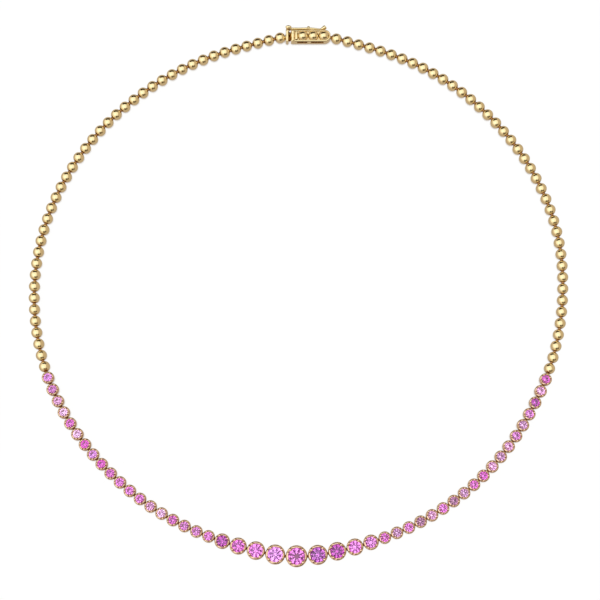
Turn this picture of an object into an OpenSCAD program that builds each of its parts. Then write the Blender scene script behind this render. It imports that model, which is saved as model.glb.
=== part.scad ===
// Riviere necklace. Round cut stones in gold cup settings fill the front, plain gold
// beads run up both sides, and a domed box clasp with a safety lever closes the loop.
// The loop lies flat on z = 0 with the clasp at +Y and the centre stone at -Y.

/* [Beads] */
// Diameter of a plain bead
bead_d = 2.75; // [2.5:0.05:4]
// Beads on the left side
beads_left = 41; // [20:1:60]
// Beads on the right side
beads_right = 40; // [20:1:60]

/* [Settings] */
// Diameter of a small setting
small_d = 3; // [2.9:0.05:3.6]
// Small settings on each side
small_count = 19; // [8:1:24]
// Diameter of the first graduated setting
graduated_from_d = 3.7; // [3.2:0.05:4.2]
// Diameter of the last graduated setting, beside the centre
graduated_to_d = 4.75; // [4.2:0.05:5.5]
// Diameter of the centre setting
centre_d = 5.2; // [4.5:0.05:7]
// Height of a small setting
small_h = 2.75; // [2.7:0.05:3.4]
// Extra height for each extra millimetre of diameter
height_growth = 0.35; // [0.2:0.05:0.5]
// Gold between a small stone's girdle and the outside
rim_w = 0.45; // [0.4:0.01:0.55]
// Extra rim for each extra millimetre of diameter
rim_growth = 0.07; // [0:0.01:0.1]
// Radius of a small setting's prong tips
prong_r = 0.17; // [0.12:0.01:0.2]
// Extra prong radius for each extra millimetre of diameter
prong_growth = 0.03; // [0:0.01:0.05]
// Radius of the open back under each stone
back_hole_r = 0.28; // [0.15:0.01:0.3]

/* [Stones] */
// Slope of the crown, in degrees
crown_angle = 34; // [30:1:36]
// Slope of the pavilion, in degrees
pavilion_angle = 41; // [36:1:43]
// Table width as a share of the stone's width
table_share = 0.57; // [0.5:0.01:0.65]
// Thickness of the girdle
girdle_t = 0.06; // [0.03:0.01:0.1]
// Clearance between a stone and its seat
stone_fit = 0.06; // [0.05:0.01:0.08]

/* [Link hinges] */
// Clearance between neighbouring links
link_gap = 0.15; // [0.12:0.01:0.3]
// Radius of the cross pin in each link's end
pin_r = 0.14; // [0.1:0.01:0.16]
// Radial clearance of the eye on the pin
eye_fit = 0.12; // [0.11:0.01:0.14]
// Width of metal round the eye's hole
eye_wall = 0.16; // [0.12:0.01:0.18]
// Thickness of the flat tongue
tongue_t = 0.44; // [0.3:0.02:0.5]
// Clearance round the tongue inside its pocket
pocket_fit = 0.17; // [0.15:0.01:0.2]
// Distance from a link's end face to its pin
pin_inset = 0.58; // [0.56:0.01:0.64]

/* [Clasp] */
// Length from the tongue's end plate to the far end of the box
clasp_len = 11.3; // [11:0.1:13]
// Width of the box and of the end plate
clasp_w = 3; // [2.9:0.05:3.4]
// Height of the box under its domes
box_h = 2.2; // [2.15:0.05:2.6]
// Thickness of the sheet that the box is made from
box_wall = 0.3; // [0.25:0.01:0.35]
// Diameter of a dome on the lid
dome_d = 2.6; // [2.3:0.05:2.6]
// Height of a dome's centre above the underside
dome_z = 1.9; // [1.7:0.05:2.1]
// Thickness of the end plate
plate_t = 0.6; // [0.5:0.05:0.7]
// Height of the end plate
plate_h = 2.6; // [2.4:0.05:2.9]
// Open space between the end plate and the box
mouth_gap = 0.7; // [0.5:0.05:0.8]
// Thickness of the folded tongue's leaves
leaf_t = 0.25; // [0.2:0.01:0.3]
// Clearance round the tongue inside the box
leaf_fit = 0.12; // [0.1:0.01:0.15]
// Length of the tongue inside the box
leaf_reach = 6.6; // [5:0.1:7]
// Width of the press button
button_w = 2.2; // [1.6:0.1:2.4]
// Length of the press button
button_len = 0.65; // [0.5:0.05:0.8]
// Length of each slot in the side wall
slot_len = 2.6; // [2:0.1:2.8]
// Height of each slot in the side wall
slot_h = 1; // [0.6:0.05:1.1]

/* [Safety lever] */
// Half the width of the lever's wires
wire_r = 0.2; // [0.16:0.01:0.22]
// Distance from the clasp's axis to the lever's plane
lever_y = 2; // [2:0.02:2.2]
// Distance along the clasp from its end plate's face to the hinge post
post_x = 0.4; // [0.3:0.02:0.5]
// Radius of the hinge post
post_r = 0.17; // [0.14:0.01:0.18]
// Radial clearance of the lever's eyes on the post
post_fit = 0.08; // [0.06:0.01:0.1]
// Radius of the ball heads on the post
post_ball_r = 0.32; // [0.3:0.01:0.34]
// Half the height between the two wires where the lever is widest
lever_half_h = 0.74; // [0.72:0.01:0.78]
// Distance from the hinge post to where the two wires meet
lever_len = 8.5; // [8:0.1:9]
// Radius of the ball peg that the lever closes over
peg_ball_r = 0.4; // [0.34:0.01:0.42]
// Distance along the clasp from its end plate's face to the ball peg
peg_x = 5.7; // [5:0.1:6.4]
// Length of the thumb tab
tab_len = 1.1; // [0.8:0.1:1.4]
// Outward slope of the thumb tab, in degrees
tab_angle = 30; // [15:1:35]

/* [Hidden] */
$fn = 32;
eps = 0.01;

// The line that the links follow, as degrees clockwise from the middle of the clasp and
// the distance from the middle of the loop. Only the shape counts: its size is scaled
// until the links and the clasp fill it exactly.
route = [
    [0, 66.2], [6, 65.7], [14, 65.1], [30, 65.3], [45, 65.4], [60, 65.7], [76, 65.7],
    [90, 65.0], [104, 64.4], [115, 63.9], [135, 63.8], [156, 63.8], [168, 64.2],
    [179, 65.0], [190, 64.2], [200, 63.9], [224, 64.0], [240, 64.6], [256, 65.1],
    [272, 65.2], [286, 65.0], [304, 64.5], [320, 64.1], [336, 64.1], [347, 64.4],
    [354, 65.3], [360, 66.2]
];

// Space round a cut, so that it passes right through what it cuts
past = 1;

// Sizes that grow with a setting's diameter d
function growth(d) = d - small_d;
function setting_h(d) = small_h + height_growth * growth(d);
function stone_r(d) = d / 2 - rim_w - rim_growth * growth(d);
function prong_ball_r(d) = prong_r + prong_growth * growth(d);
function crown_h(d) = stone_r(d) * (1 - table_share) * tan(crown_angle);
function girdle_z(d) = setting_h(d) - crown_h(d) - table_drop;
function culet_z(d) = girdle_z(d) - girdle_t - stone_r(d) * tan(pavilion_angle);
// The table lies this far below the rim, and the lip over the girdle is this wide and high
table_drop = 0.03;
lip = 0.04;
lip_z = 0.09;
// Flat top of the rim, and the round at its outer edge
rim_top_w = 0.1;
rim_round = 0.12;
// Each prong tip's middle lies this far outside the stone and below the rim
prong_out = 0.08;
prong_sink = 0.04;

// Side corners of a stone's kites: the upper ones as a share of the middle between table
// and girdle, the lower ones as a share of the stone's radius
star_share = 0.99;
low_share = 0.24;

// Hinge between links: a flat tongue with an eye on a cross pin, at bead centre height
hinge_z = bead_d / 2;
eye_hole_r = pin_r + eye_fit;
eye_r = eye_hole_r + eye_wall;
pocket_r = eye_r + eye_fit;
pocket_w = tongue_t + 2 * pocket_fit;
pin_grip = 0.25;
pin_len = pocket_w + 2 * pin_grip;
tongue_root = 0.35;

// Diameters of all links, clockwise from the far end of the clasp's box
graduated_count = 4;
function graduated_d(k) =
    graduated_from_d + (graduated_to_d - graduated_from_d) * k / (graduated_count - 1);
rising = [for (k = [0:graduated_count - 1]) graduated_d(k)];
falling = [for (k = [graduated_count - 1:-1:0]) graduated_d(k)];
link_d = concat(
    [for (i = [1:beads_right]) bead_d], [for (i = [1:small_count]) small_d],
    rising, [centre_d], falling,
    [for (i = [1:small_count]) small_d], [for (i = [1:beads_left]) bead_d]
);
first_small_right = beads_right;
first_graduated_right = first_small_right + small_count;
centre_link = first_graduated_right + graduated_count;
first_small_left = centre_link + 1 + graduated_count;
first_bead_left = first_small_left + small_count;
link_count = len(link_d);

// Distance travelled along the chain at each hinge pin
function running(list, i = 0, sum = 0, out = []) =
    i == len(list) ? concat(out, [sum]) : running(list, i + 1, sum + list[i], concat(out, [sum]));
chain_at = running([for (d = link_d) d + link_gap]);
chain_len = chain_at[link_count];
clasp_pitch = clasp_len + link_gap;

// Smooth radius between the rows of the route, by cubic pieces with matching slopes
last_row = len(route) - 1;
function row_slope(i) =
    let (a = i == 0 ? last_row - 1 : i - 1, b = i == last_row ? 1 : i + 1)
    let (span = (route[b][0] - route[a][0] + 360) % 360)
    (route[b][1] - route[a][1]) / span;
function row_before(turn) = max([for (i = [0:last_row - 1]) if (route[i][0] <= turn) i]);
function route_r(turn) =
    let (i = row_before(turn), a = route[i], b = route[i + 1], span = b[0] - a[0])
    let (t = (turn - a[0]) / span, s = 1 - t)
    s * s * (1 + 2 * t) * a[1] + t * t * (1 + 2 * s) * b[1]
    + span * t * s * (s * row_slope(i) - t * row_slope(i + 1));
function route_point(turn) = route_r(turn) * [sin(turn), cos(turn)];

// The route as short straight steps, with the distance along it
turn_step = 0.5;
turns = [for (a = [0:turn_step:360]) a];
steps = [for (a = turns) route_point(a)];
step_len = [for (i = [1:len(steps) - 1]) norm(steps[i] - steps[i - 1])];
step_at = running(step_len);
at_turn = [for (i = [0:len(turns) - 1]) [turns[i], step_at[i]]];
turn_at = [for (i = [0:len(turns) - 1]) [step_at[i], turns[i]]];

// Half the angle that the clasp takes up: where the rest of the route is as many times
// longer than the chord between its ends as the chain is longer than the clasp
function chord(half) = norm(route_point(half) - route_point(360 - half));
function rest(half) = lookup(360 - half, at_turn) - lookup(half, at_turn);
clasp_half_turn = lookup(-chain_len / clasp_pitch,
    [for (half = [2:0.25:12]) [-rest(half) / chord(half), half]]);
route_scale = clasp_pitch / chord(clasp_half_turn);
route_start = lookup(clasp_half_turn, at_turn);

// Hinge pins in the plane, turned so that the clasp lies along X
function pin_raw(i) =
    route_scale * route_point(lookup(route_start + chain_at[i] / route_scale, turn_at));
pins_raw = [for (i = [0:link_count]) pin_raw(i)];
clasp_dir = pins_raw[0] - pins_raw[link_count];
clasp_turn = atan2(clasp_dir[1], clasp_dir[0]);
function turned(p, a) = [p[0] * cos(a) + p[1] * sin(a), p[1] * cos(a) - p[0] * sin(a)];
pins = [for (p = pins_raw) turned(p, clasp_turn)];
link_dir = [for (i = [0:link_count - 1]) (pins[i + 1] - pins[i]) / norm(pins[i + 1] - pins[i])];
link_mid = [for (i = [0:link_count - 1]) pins[i + 1] - (link_d[i] / 2 - pin_inset) * link_dir[i]];

// Sizes inside the clasp, along its own axis from the end plate's outer face
box_x = plate_t + mouth_gap;
box_end_r = clasp_w / 2;
last_dome_x = clasp_len - box_end_r;
dome_count = 3;
dome_sink = 0.2;
dome_flat = dome_z - dome_sink;
leaf_w = clasp_w - 2 * box_wall - 2 * leaf_fit;
leaf_z = box_wall + leaf_fit;
leaf_tip_x = box_x + leaf_reach;
upper_leaf_z = box_h - box_wall - leaf_fit - leaf_t;
fold_gap = 0.15;
lintel_z = upper_leaf_z - fold_gap;
catch_x = box_x + box_wall + leaf_fit;
// Press button: from the box's mouth to its neck, and its height over the lid
button_from_mouth = 1;
button_x = box_x + button_from_mouth;
button_rise = 0.5;
button_top = box_h + button_rise;
button_foot = box_h + leaf_fit;
neck_w = 0.8;
// Slots in the side wall: height of their lower edge, rib between them, start of the first
slot_z = 0.55;
slot_rib = 0.9;
slots_from_mouth = 1.5;
slots_x = box_x + slots_from_mouth;
eye_tip = link_gap + pin_inset;

// Sizes of the safety lever and of what holds it: height of its middle, its two eyes,
// the post between its ball heads, and how far the eyes lie above and below the middle
lever_mid_z = 1.3;
lever_eye_wall = 0.15;
lever_eye_r = post_r + post_fit + lever_eye_wall;
lever_eye_t = 0.34;
lever_eye_dz = 0.45;
post_lug_t = 0.3;
head_fit = 0.1;
head_share = 0.8;
post_ball_z = lever_mid_z + lever_eye_dz + lever_eye_t / 2 + head_fit + post_ball_r * head_share;
// Where the wires are widest apart, how far before the tip they start to close, and how
// near each other they end
lever_knee = 2.2;
lever_meet = 1.5;
lever_tip_half_h = 0.22;
// Thumb tab's rounded end, its thickness, and its width as a share of that end's
tab_r = 0.4;
tab_t = 0.32;
tab_share = 0.8;
// Ball peg: its neck, and its ball's middle past the lever's plane
peg_neck_r = 0.18;
peg_past_lever = 0.45;
peg_reach = lever_y + peg_past_lever;
lever_reach = max(peg_reach + peg_ball_r,
    lever_y + (tab_len + tab_r) * sin(tab_angle) + tab_t / 2 * cos(tab_angle));

// The whole loop's box, so that the origin sits under its middle
axis_y = pins[0][1];
x_low = min([for (i = [0:link_count - 1]) link_mid[i][0] - link_d[i] / 2]);
x_high = max([for (i = [0:link_count - 1]) link_mid[i][0] + link_d[i] / 2]);
y_low = min([for (i = [0:link_count - 1]) link_mid[i][1] - link_d[i] / 2]);
middle = [(x_low + x_high) / 2, (y_low + axis_y + lever_reach) / 2];
clasp_origin = [pins[link_count][0] + eye_tip - middle[0], axis_y - middle[1]];

echo(clasp_origin = clasp_origin, loop = chain_len + clasp_pitch, scale = route_scale,
    size = [x_high - x_low, axis_y + lever_reach - y_low, setting_h(centre_d)]);

// Puts a link's children at link i: +X points at its own pin, away from its tongue
module on_link(i) {
    translate([link_mid[i][0] - middle[0], link_mid[i][1] - middle[1], 0])
        rotate([0, 0, atan2(link_dir[i][1], link_dir[i][0])]) children();
}

module on_clasp() {
    translate([clasp_origin[0], clasp_origin[1], 0]) children();
}

// Cylinder along Y, centred on the point [x, z]
module cross_rod(x, z, r, l) {
    translate([x, l / 2, z]) rotate([90, 0, 0]) cylinder(r = r, h = l);
}

// Ball with its seam turned to the side, clear of what meets it at the front and back
module ball(r) {
    rotate([0, 0, 90]) sphere(r);
}

// Outline of a wire of half-width r that runs through the points, with round bends
module wire_outline(path, r) {
    for (p = path) translate(p) circle(r);
    for (i = [1:len(path) - 1]) {
        v = path[i] - path[i - 1];
        translate(path[i - 1]) rotate(atan2(v[1], v[0])) translate([0, -r]) square([norm(v), 2 * r]);
    }
}

// Room for the next link's tongue in the end at x = end_x
module hinge_pocket(end_x) {
    pin_x = end_x - pin_inset;
    cross_rod(pin_x, hinge_z, pocket_r, pocket_w);
    translate([pin_x, -pocket_w / 2, hinge_z - pocket_r])
        cube([pin_inset + past, pocket_w, 2 * pocket_r]);
}

module hinge_pin(end_x) {
    cross_rod(end_x - pin_inset, hinge_z, pin_r, pin_len);
}

// Flat tongue from the face at x = back_x to the eye on the previous pin
module hinge_tongue(back_x) {
    eye_x = back_x - link_gap - pin_inset;
    difference() {
        union() {
            cross_rod(eye_x, hinge_z, eye_r, tongue_t);
            translate([eye_x, -tongue_t / 2, hinge_z - eye_r])
                cube([back_x + tongue_root - eye_x, tongue_t, 2 * eye_r]);
        }
        cross_rod(eye_x, hinge_z, eye_hole_r, tongue_t + 2 * past);
    }
}

module bead_link() {
    color("#d9b36c") {
        difference() {
            translate([0, 0, hinge_z]) ball(bead_d / 2);
            hinge_pocket(bead_d / 2);
        }
        hinge_pin(bead_d / 2);
        hinge_tongue(-bead_d / 2);
    }
}

// Cup with a seat cut to the stone, a lip over its girdle and four prong tips
module setting_link(d) {
    r = d / 2;
    h = setting_h(d);
    sr = stone_r(d);
    gz = girdle_z(d);
    seat_drop = stone_fit / cos(pavilion_angle);
    seat_z = function(x) culet_z(d) + x * tan(pavilion_angle) - seat_drop;
    color("#cf9f6b") {
        difference() {
            rotate_extrude($fn = 48) polygon([
                [back_hole_r, 0], [0.62 * r, 0], [0.86 * r, 0.2 * h], [0.96 * r, 0.42 * h],
                [r, 0.62 * h], [r, 0.82 * h], [r - rim_round / 3, h - rim_round],
                [r - rim_round, h], [sr + rim_top_w, h], [sr - lip, gz + 2 * lip_z],
                [sr - lip, gz + lip_z], [sr + stone_fit, gz + lip_z],
                [sr + stone_fit, seat_z(sr + stone_fit)], [back_hole_r, seat_z(back_hole_r)]
            ]);
            hinge_pocket(r);
        }
        for (a = [45:90:315]) rotate([0, 0, a])
            translate([sr + prong_out, 0, h - prong_sink]) sphere(prong_ball_r(d));
        hinge_pin(r);
        hinge_tongue(-r);
    }
}

// Round brilliant: table, eight kites with star and upper girdle facets above the girdle,
// eight long kites and lower girdle facets below it. The kites' side corners are placed
// on the kites' own planes, so every facet is flat.
module brilliant(d) {
    r = stone_r(d);
    gz = girdle_z(d);
    star_r = r * (1 + table_share) / 2 * star_share;
    low_r = r * low_share;
    half_cos = cos(22.5);
    star_z = gz + (r - star_r * half_cos) * tan(crown_angle);
    low_z = culet_z(d) + low_r * half_cos * tan(pavilion_angle);
    ring = function(n, rr, z, a0) [for (k = [0:n - 1])
        [rr * cos(a0 + k * 360 / n), rr * sin(a0 + k * 360 / n), z]];
    points = concat(
        ring(8, r * table_share, gz + crown_h(d), 0), ring(8, star_r, star_z, 22.5),
        ring(16, r, gz, 0), ring(16, r, gz - girdle_t, 0),
        ring(8, low_r, low_z, 22.5), [[0, 0, culet_z(d)]]
    );
    t = 0;
    s = 8;
    g = 16;
    b = 32;
    l = 48;
    c = 56;
    faces = concat(
        [[for (k = [7:-1:0]) t + k]],
        [for (k = [0:7]) [t + k, t + (k + 1) % 8, s + k]],
        [for (k = [0:7]) [t + k, s + k, g + 2 * k, s + (k + 7) % 8]],
        [for (k = [0:7]) [s + k, g + 2 * k + 1, g + 2 * k]],
        [for (k = [0:7]) [s + k, g + (2 * k + 2) % 16, g + 2 * k + 1]],
        [for (k = [0:15]) [g + k, g + (k + 1) % 16, b + (k + 1) % 16, b + k]],
        [for (k = [0:7]) [b + 2 * k, b + 2 * k + 1, l + k]],
        [for (k = [0:7]) [b + 2 * k + 1, b + (2 * k + 2) % 16, l + k]],
        [for (k = [0:7]) [b + 2 * k, l + k, c, l + (k + 7) % 8]]
    );
    color("orchid") polyhedron(points, faces, convexity = 4);
}

module bead_string(first, count) {
    for (i = [first:first + count - 1]) on_link(i) bead_link();
}

module small_settings(first) {
    for (i = [first:first + small_count - 1]) on_link(i) setting_link(small_d);
}

module small_stones(first) {
    for (i = [first:first + small_count - 1]) on_link(i) brilliant(small_d);
}

// Graduated settings and stones count up towards the centre: side is 1 right, -1 left
module graduated_setting(side, k) {
    on_link(centre_link - side * (graduated_count + 1 - k)) setting_link(graduated_d(k - 1));
}

module graduated_stone(side, k) {
    on_link(centre_link - side * (graduated_count + 1 - k)) brilliant(graduated_d(k - 1));
}

module centre_setting() {
    on_link(centre_link) setting_link(centre_d);
}

module centre_stone() {
    on_link(centre_link) brilliant(centre_d);
}

// Plan of the box: square at the mouth, round under the last dome
module box_plan(inset) {
    translate([box_x + inset, -clasp_w / 2 + inset])
        square([last_dome_x - box_x - inset, clasp_w - 2 * inset]);
}

module clasp_box() {
    color("#d9b36c") on_clasp() {
        difference() {
            union() {
                linear_extrude(box_h) {
                    box_plan(0);
                    translate([last_dome_x, 0]) circle(box_end_r);
                }
                intersection() {
                    for (k = [0:dome_count - 1])
                        translate([last_dome_x - k * dome_d, 0, dome_z]) sphere(d = dome_d);
                    translate([box_x, -clasp_w, dome_flat]) cube([clasp_len, 2 * clasp_w, dome_d]);
                }
            }
            // Inside, mouth, button slot and the side wall's two long slots
            translate([0, 0, box_wall]) linear_extrude(box_h - 2 * box_wall) box_plan(box_wall);
            translate([box_x - past, -clasp_w / 2 + box_wall, box_wall])
                cube([past + box_wall + eps, clasp_w - 2 * box_wall, lintel_z - box_wall]);
            translate([box_x - past, -neck_w / 2 - leaf_fit, lintel_z - eps])
                cube([past + button_x + button_len + leaf_fit - box_x, neck_w + 2 * leaf_fit, box_h]);
            for (k = [0:1]) translate([slots_x + k * (slot_len + slot_rib), -clasp_w, slot_z])
                cube([slot_len, clasp_w / 2 + box_wall + eps, slot_h]);
            hinge_pocket(clasp_len);
        }
        hinge_pin(clasp_len);
        // Ball peg on the outer side wall
        translate([peg_x, clasp_w / 2 - box_wall / 2, lever_mid_z]) rotate([-90, 0, 0])
            cylinder(r = peg_neck_r, h = peg_reach - clasp_w / 2);
        translate([peg_x, peg_reach, lever_mid_z]) sphere(peg_ball_r);
    }
}

module clasp_tongue() {
    color("#d9b36c") on_clasp() {
        translate([0, -clasp_w / 2, 0]) cube([plate_t, clasp_w, plate_h]);
        hinge_tongue(0);
        // Folded tongue: lower leaf in, upper leaf back up to the catch
        translate([0, leaf_w / 2, 0]) rotate([90, 0, 0]) linear_extrude(leaf_w) polygon([
            [plate_t - eps, leaf_z], [leaf_tip_x, leaf_z], [leaf_tip_x, leaf_z + leaf_t * 1.6],
            [button_x + button_len, upper_leaf_z + leaf_t], [catch_x, upper_leaf_z + leaf_t],
            [catch_x, upper_leaf_z], [button_x + button_len, upper_leaf_z],
            [leaf_tip_x - leaf_t * 2, leaf_z + leaf_t], [plate_t - eps, leaf_z + leaf_t]
        ]);
        // Press button, round on top, on its neck
        translate([button_x, -neck_w / 2, upper_leaf_z + eps])
            cube([button_len, neck_w, button_foot - upper_leaf_z]);
        intersection() {
            cross_rod(button_x + button_len / 2, button_top - button_len / 2, button_len / 2, button_w);
            translate([button_x, -button_w / 2, button_foot]) cube([button_len, button_w, button_rise]);
        }
        // Hinge post of the safety lever: a lug on the plate's edge, a post and two ball heads
        translate([post_x, clasp_w / 2 - eps, lever_mid_z - post_lug_t / 2])
            translate([-post_r, 0, 0]) cube([2 * post_r, lever_y - clasp_w / 2, post_lug_t]);
        translate([post_x, lever_y, 2 * lever_mid_z - post_ball_z])
            cylinder(r = post_r, h = 2 * (post_ball_z - lever_mid_z));
        for (z = [post_ball_z, 2 * lever_mid_z - post_ball_z])
            translate([post_x, lever_y, z]) sphere(post_ball_r);
    }
}

module safety_lever() {
    color("#d9b36c") on_clasp() translate([post_x, lever_y, lever_mid_z]) {
        difference() {
            union() {
                for (s = [-1, 1]) {
                    translate([0, wire_r, 0]) rotate([90, 0, 0]) linear_extrude(2 * wire_r)
                        wire_outline([
                            [wire_r, s * lever_eye_dz], [lever_knee, s * lever_half_h],
                            [lever_len - lever_meet, s * lever_half_h],
                            [lever_len, s * lever_tip_half_h]
                        ], wire_r);
                    translate([0, 0, s * lever_eye_dz - lever_eye_t / 2])
                        cylinder(r = lever_eye_r, h = lever_eye_t);
                }
            }
            translate([0, 0, -past]) cylinder(r = post_r + post_fit, h = 2 * past);
            // Room for the lug between the eyes
            translate([0, 0, -(lever_eye_dz - lever_eye_t / 2)])
                cylinder(r = lever_eye_r + head_fit, h = 2 * lever_eye_dz - lever_eye_t);
        }
        translate([lever_len - wire_r, 0, 0]) rotate([90, 0, tab_angle])
            translate([0, 0, -tab_t / 2]) linear_extrude(tab_t) {
                translate([0, -tab_r * tab_share]) square([tab_len, 2 * tab_r * tab_share]);
                translate([tab_len, 0]) circle(tab_r);
            }
    }
}

bead_string(first_bead_left, beads_left);  // bead_string_left
bead_string(0, beads_right);  // bead_string_right
small_settings(first_small_left);  // small_settings_left
small_settings(first_small_right);  // small_settings_right
small_stones(first_small_left);  // small_stones_left
small_stones(first_small_right);  // small_stones_right
graduated_setting(-1, 1);  // graduated_setting_left_1
graduated_setting(-1, 2);  // graduated_setting_left_2
graduated_setting(-1, 3);  // graduated_setting_left_3
graduated_setting(-1, 4);  // graduated_setting_left_4
centre_setting();
graduated_setting(1, 4);  // graduated_setting_right_4
graduated_setting(1, 3);  // graduated_setting_right_3
graduated_setting(1, 2);  // graduated_setting_right_2
graduated_setting(1, 1);  // graduated_setting_right_1
graduated_stone(-1, 1);  // graduated_stone_left_1
graduated_stone(-1, 2);  // graduated_stone_left_2
graduated_stone(-1, 3);  // graduated_stone_left_3
graduated_stone(-1, 4);  // graduated_stone_left_4
centre_stone();
graduated_stone(1, 4);  // graduated_stone_right_4
graduated_stone(1, 3);  // graduated_stone_right_3
graduated_stone(1, 2);  // graduated_stone_right_2
graduated_stone(1, 1);  // graduated_stone_right_1
clasp_box();
clasp_tongue();
safety_lever();
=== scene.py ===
import bpy
import numpy as np
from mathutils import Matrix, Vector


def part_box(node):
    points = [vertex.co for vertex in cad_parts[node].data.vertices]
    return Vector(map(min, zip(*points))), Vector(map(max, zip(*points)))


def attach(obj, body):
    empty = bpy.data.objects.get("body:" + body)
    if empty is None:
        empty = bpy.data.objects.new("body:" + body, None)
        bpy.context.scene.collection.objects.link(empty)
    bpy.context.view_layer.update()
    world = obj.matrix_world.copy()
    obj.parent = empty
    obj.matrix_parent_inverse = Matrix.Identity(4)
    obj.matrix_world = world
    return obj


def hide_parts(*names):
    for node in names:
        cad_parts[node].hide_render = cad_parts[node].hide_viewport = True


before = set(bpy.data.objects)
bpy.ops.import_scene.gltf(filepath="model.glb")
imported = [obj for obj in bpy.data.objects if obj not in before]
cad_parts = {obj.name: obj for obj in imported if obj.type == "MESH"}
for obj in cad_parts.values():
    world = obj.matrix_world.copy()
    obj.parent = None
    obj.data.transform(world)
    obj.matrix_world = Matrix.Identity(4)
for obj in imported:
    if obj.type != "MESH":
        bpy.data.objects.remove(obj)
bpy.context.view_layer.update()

MM = 0.001

# The photograph was taken from over the front of the necklace, a little out from the plumb
# line, with a long lens. The point that the lens looks at lies on the table.
LENS = 105
SENSOR = 36
LOOKS_AT = np.array([0.306, -2.465, 0]) * MM
LENS_TO_TABLE = 432.3 * MM
TILT = np.radians(10.5)
TURN = np.radians(-0.155)
CLIP_NEAR = 10 * MM
CLIP_FAR = 20

scene = bpy.context.scene
camera_data = bpy.data.cameras.new("camera")
camera_data.lens = LENS
camera_data.sensor_width = SENSOR
camera_data.clip_start = CLIP_NEAR
camera_data.clip_end = CLIP_FAR
camera = bpy.data.objects.new("camera", camera_data)
scene.collection.objects.link(camera)
away = np.array([np.sin(TURN) * np.sin(TILT), -np.cos(TURN) * np.sin(TILT), np.cos(TILT)])
camera.location = LOOKS_AT + away * LENS_TO_TABLE
camera.rotation_euler = (TILT, 0, TURN)
scene.camera = camera
scene.view_settings.view_transform = "Standard"
scene.view_settings.look = "None"


# A white table, which the lens sees as plain white paper, with painted shade: an ambient
# occlusion node browns it in the crevices under the links. The gold mirrors it as it is: a
# duller, warmer white, lit mostly from above.
TABLE_HALF = 3
TABLE_SEEN = 0.97
TABLE_SHADE = 0.045
TABLE_MIRRORED = (0.56, 0.49, 0.42)
MIRRORED_EVENLY = 0.8
CREVICE = 0.7 * MM
CREVICE_PAINTED_SHADE = (0.34, 0.24, 0.15)
CREVICE_OPEN = (0.3, 0.9)
CREVICE_SAMPLES = 8


def make_mesh(name, parts):
    """Joins parts, each a pair of points (n, 3) in metres and faces (f, 3) or (f, 4), into
    one mesh. A part whose faces point inwards, so that the volume between them and the
    middle of its points is negative, has their corners put in the other order."""
    starts = np.cumsum([0] + [len(points) for points, _ in parts])
    corners, sizes = [], []
    for (points, faces), start in zip(parts, starts):
        corner = (points - points.mean(axis=0))[faces]
        volume = (corner[:, 0] * np.cross(corner[:, 1], corner[:, 2])).sum()
        if faces.shape[1] == 4:
            volume += (corner[:, 0] * np.cross(corner[:, 2], corner[:, 3])).sum()
        turned = faces[:, ::-1] if volume < 0 else faces
        corners.append((turned + start).ravel())
        sizes.append(np.full(len(faces), faces.shape[1]))
    points, corners, sizes = (np.concatenate(x) for x in ([p for p, _ in parts], corners, sizes))
    mesh = bpy.data.meshes.new(name)
    mesh.vertices.add(len(points))
    mesh.vertices.foreach_set("co", points.astype(np.float32).ravel())
    mesh.loops.add(len(corners))
    mesh.loops.foreach_set("vertex_index", corners.astype(np.int32))
    mesh.polygons.add(len(sizes))
    mesh.polygons.foreach_set("loop_start", (np.cumsum(sizes) - sizes).astype(np.int32))
    mesh.update(calc_edges=True)
    mesh.polygons.foreach_set("use_smooth", np.zeros(len(sizes), bool))
    return mesh


def make_object(name, mesh, material):
    mesh.materials.append(material)
    made = bpy.data.objects.new(name, mesh)
    scene.collection.objects.link(made)
    return made


def new_material(name):
    """A material with nodes and nothing in it but its output."""
    material = bpy.data.materials.new(name)
    material.use_nodes = True
    tree = material.node_tree
    tree.nodes.clear()
    return material, tree, tree.nodes.new("ShaderNodeOutputMaterial")


def add_node(tree, kind, inputs=()):
    """A shader node. Inputs are pairs of an input's name or number and what goes into it: a
    number, some numbers or another node's output."""
    node = tree.nodes.new("ShaderNode" + kind)
    for name, value in inputs:
        if isinstance(value, bpy.types.NodeSocket):
            tree.links.new(value, node.inputs[name])
        else:
            node.inputs[name].default_value = value
    return node


def maths(tree, operation, first, second):
    node = add_node(tree, "Math", ((0, first), (1, second)))
    node.operation = operation
    return node.outputs[0]


def ramp_between(tree, value, low, high):
    """0 below low, 1 above high and a soft S between them."""
    node = add_node(tree, "MapRange", (("Value", value), ("From Min", low), ("From Max", high)))
    node.interpolation_type = "SMOOTHSTEP"
    return node.outputs["Result"]


def blend(tree, share, first, second, how="MIX"):
    """A Mix node for colours, each given as numbers or as another node's output."""
    node = tree.nodes.new("ShaderNodeMix")
    node.data_type = "RGBA"
    node.blend_type = how
    for name, value in (("Factor", share), ("A", first), ("B", second)):
        if isinstance(value, bpy.types.NodeSocket):
            tree.links.new(value, node.inputs[name])
        else:
            node.inputs[name].default_value = (*value, 1) if isinstance(value, tuple) else value
    return node.outputs["Result"]


table_white, tree, output = new_material("table_white")
# Painted shade: the paper turns brown where the links lie close over it.
closed_in = add_node(tree, "AmbientOcclusion", [("Distance", CREVICE)])
closed_in.samples = CREVICE_SAMPLES
open_sky = ramp_between(tree, closed_in.outputs["AO"], *CREVICE_OPEN)
paper_and_crevice_shade = blend(tree, open_sky, CREVICE_PAINTED_SHADE, (1, 1, 1))
seen = add_node(tree, "Emission", (("Color", paper_and_crevice_shade), ("Strength", TABLE_SEEN)))
shade = add_node(tree, "BsdfDiffuse", [("Color", (TABLE_SHADE, TABLE_SHADE, TABLE_SHADE, 1))])
seen = add_node(tree, "AddShader", ((0, seen.outputs[0]), (1, shade.outputs[0])))
lit = add_node(tree, "BsdfDiffuse", [("Color", (*TABLE_MIRRORED, 1))])
even = add_node(tree, "Emission", [("Color", (*TABLE_MIRRORED, 1))])
mirrored = add_node(tree, "MixShader", (
    (0, MIRRORED_EVENLY), (1, lit.outputs[0]), (2, even.outputs[0])))
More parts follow.
